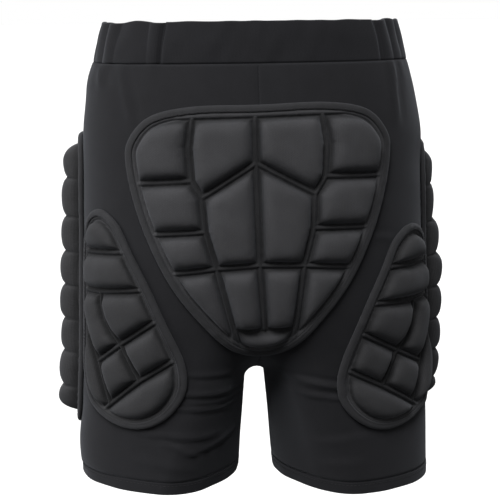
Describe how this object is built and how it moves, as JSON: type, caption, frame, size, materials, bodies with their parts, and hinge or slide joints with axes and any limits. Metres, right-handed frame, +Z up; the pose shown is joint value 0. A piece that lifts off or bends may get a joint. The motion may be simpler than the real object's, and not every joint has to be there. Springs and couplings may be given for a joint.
{
  "type": "protective snowboard shorts",
  "caption": "Close-fitting stretch shorts in worn form with a gathered waistband and quilted foam guards over the seat, backs of the thighs and hips.",
  "frame": {"origin": "middle of the waist opening at its top edge", "axes": "+Z up along the worn shorts, +X to the wearer's right, +Y to the wearer's front, so the padded back faces -Y"},
  "size_m": [0.3827, 0.248, 0.442],
  "materials": {
    "knit": "matte black stretch knit",
    "elastic": "matte black stretch knit over elastic",
    "pad_cover": "fine charcoal air mesh over moulded foam",
    "binding_tape": "woven black edge tape"
  },
  "bodies": {
    "root": {"shell_left": "knit", "shell_right": "knit", "leg_hem_left": "knit", "leg_hem_right": "knit", "waistband_back_panel": "elastic", "waistband_elastic": "elastic", "seat_pad": "pad_cover", "seat_pad_binding": "binding_tape", "thigh_pad_left": "pad_cover", "thigh_pad_left_binding": "binding_tape", "thigh_pad_right": "pad_cover", "thigh_pad_right_binding": "binding_tape", "hip_pad_left": "pad_cover", "hip_pad_left_binding": "binding_tape", "hip_pad_right": "pad_cover", "hip_pad_right_binding": "binding_tape"}
  },
  "joints": []
}
